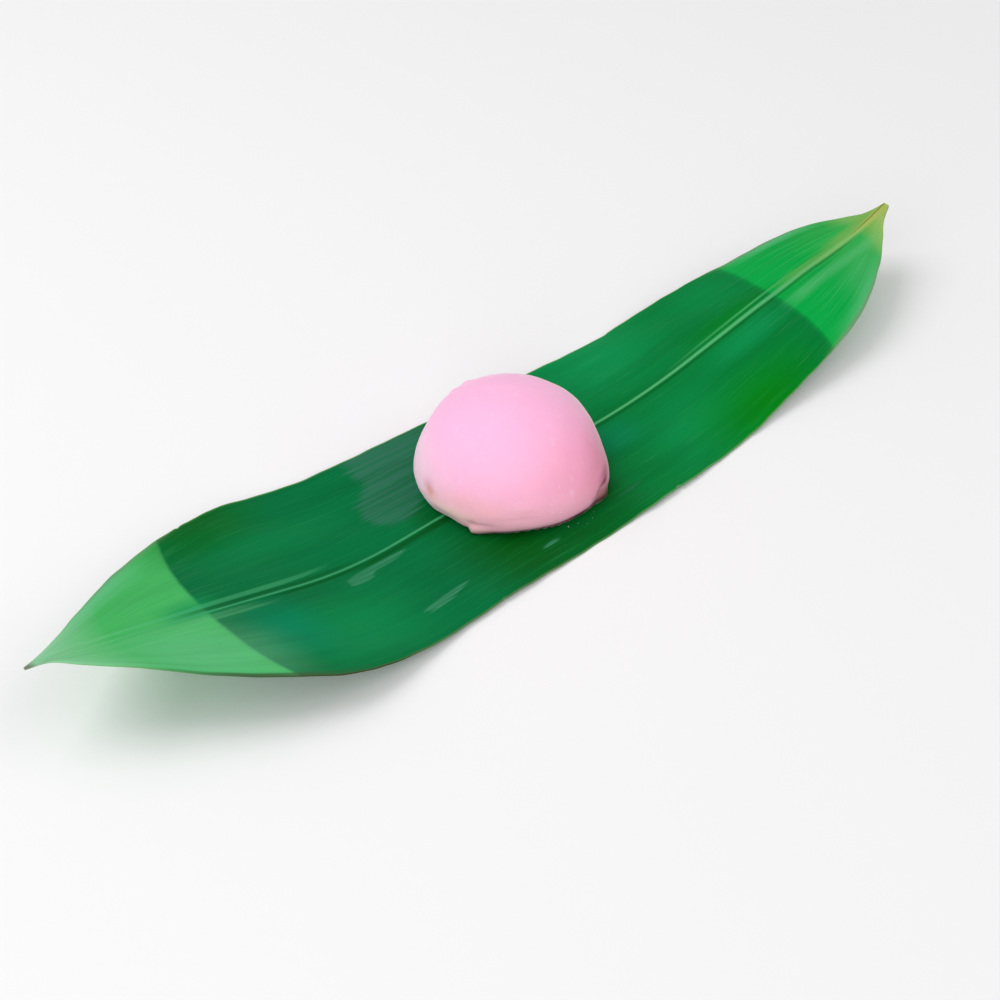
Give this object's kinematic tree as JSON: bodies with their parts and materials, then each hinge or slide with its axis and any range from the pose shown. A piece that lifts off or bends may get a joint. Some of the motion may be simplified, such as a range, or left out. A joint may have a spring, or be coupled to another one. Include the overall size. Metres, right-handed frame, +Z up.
{
  "type": "strawberry mochi on a bamboo leaf",
  "caption": "Soft pink dome of rice dough with a flat underside and a tucked seam, resting across the midrib of a long pointed bamboo leaf that curls up at both ends.",
  "frame": {"origin": "on the flat underside of the leaf, below its midrib and the middle of the mochi", "axes": "+Z up; +X along the leaf to its stalk, -X to its pointed tip; +Y across the leaf to its far side in the picture's view"},
  "size_m": [0.314, 0.0787, 0.0281],
  "materials": {
    "leaf": "satin green leaf blade with fine lengthwise veins, a pale midrib and a pale margin",
    "rice_dough": "soft matte pink rice dough, faintly translucent, dusted with starch"
  },
  "bodies": {
    "root": {"bamboo_leaf": "leaf", "mochi": "rice_dough"}
  },
  "joints": []
}
